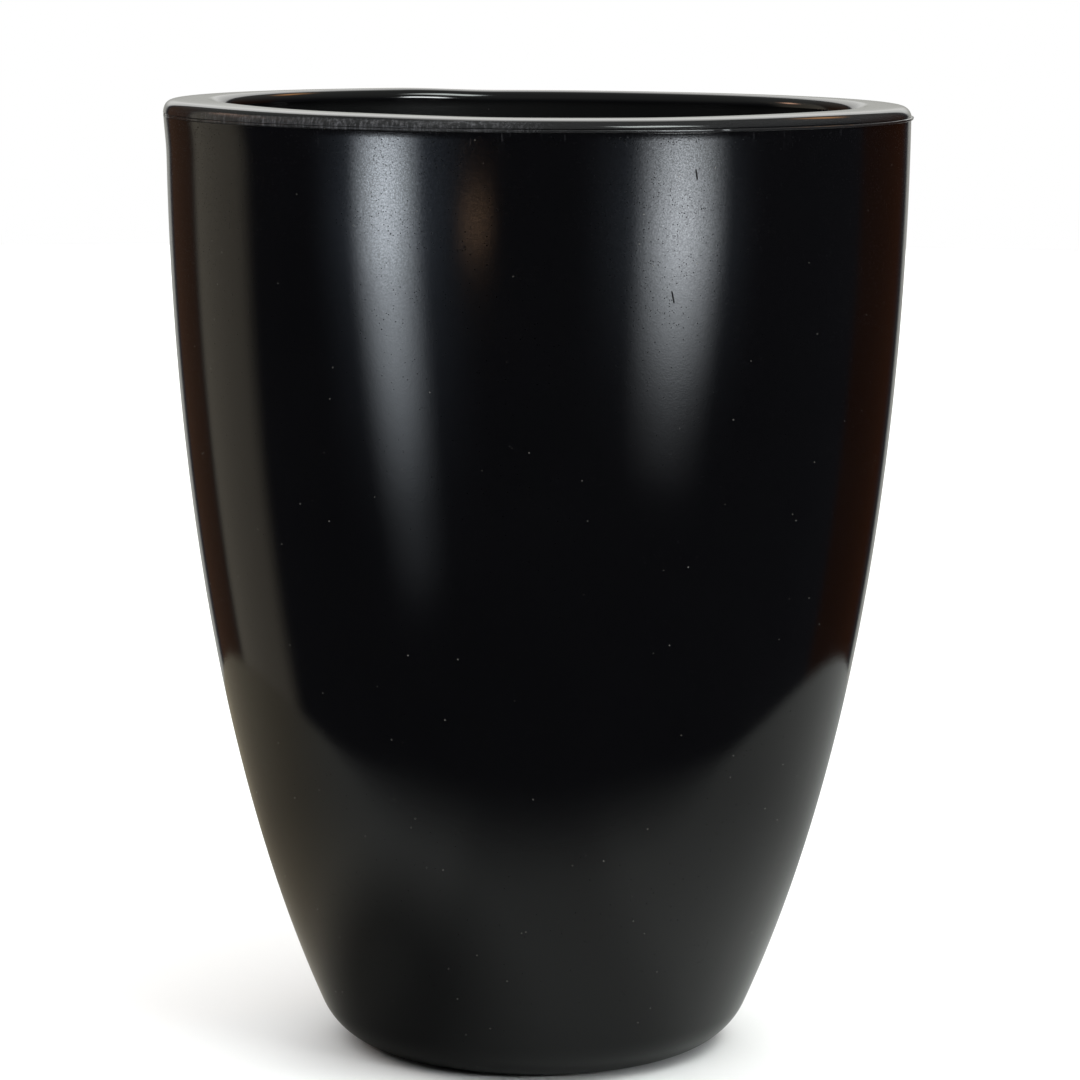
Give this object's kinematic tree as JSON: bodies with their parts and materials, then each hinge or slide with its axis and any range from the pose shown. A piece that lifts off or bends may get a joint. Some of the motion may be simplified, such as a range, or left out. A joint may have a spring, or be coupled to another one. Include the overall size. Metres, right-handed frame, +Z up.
{
  "type": "self-watering planter",
  "caption": "Tall round planter in glossy black plastic, wider at the rim than at the foot, with a lift-out liner, a perforated separator with wicks, a filler tube and a float gauge.",
  "frame": {"origin": "the middle of the foot ring, on the surface the planter stands on", "axes": "+Z up along the axis of the planter, -Y towards the front, +X to the right of someone facing the front"},
  "size_m": [0.4682, 0.4682, 0.6],
  "materials": {
    "shell": "glossy moulded black polyethylene with fine scuffs and pin-holes near the top",
    "liner": "glossy moulded black polyethylene",
    "separator": "plain moulded polypropylene",
    "tubes": "extruded tube, satin",
    "fittings": "moulded polypropylene, satin",
    "seals": "matt black rubber",
    "pin": "drawn stainless wire",
    "window": "clear plastic",
    "float": "pale closed-cell plastic",
    "marker": "red signal plastic",
    "wick": "pale needle-punched felt"
  },
  "bodies": {
    "shell_body": {"outer_shell": "shell", "drain_bushing": "fittings", "bushing_gasket": "seals", "bushing_nut": "fittings"},
    "plug_body": {"drain_plug": "fittings", "plug_seal": "seals"},
    "liner_body": {"liner": "liner"},
    "separator_body": {"separator_plate": "separator", "wick_rings": "separator", "wicks": "wick", "fill_grommet": "seals", "fill_tube": "tubes", "fill_collar": "fittings", "cap_hinge_pin": "pin", "gauge_grommet": "seals", "gauge_tube": "tubes", "gauge_window": "window", "gauge_cap": "fittings"},
    "cap_body": {"fill_cap": "fittings"},
    "float_body": {"float": "float", "float_rod": "float", "float_marker": "marker"}
  },
  "joints": [
    {"name": "drain_plug_pull", "type": "slide", "parent": "shell_body", "child": "plug_body", "axis": [0, 0, -1], "range_m": [0, 0.03]},
    {"name": "liner_lift", "type": "slide", "parent": "shell_body", "child": "liner_body", "axis": [0, 0, 1], "range_m": [0, 0.5]},
    {"name": "separator_lift", "type": "slide", "parent": "liner_body", "child": "separator_body", "axis": [0, 0, 1], "range_m": [0, 0.6]},
    {"name": "cap_hinge", "type": "hinge", "parent": "separator_body", "child": "cap_body", "pos_m": [-0.058, 0.1165, 0.558], "axis": [-1, 0, 0], "range_deg": [0, 110]},
    {"name": "float_rise", "type": "slide", "parent": "separator_body", "child": "float_body", "axis": [0, 0, 1], "range_m": [0, 0.056]}
  ]
}
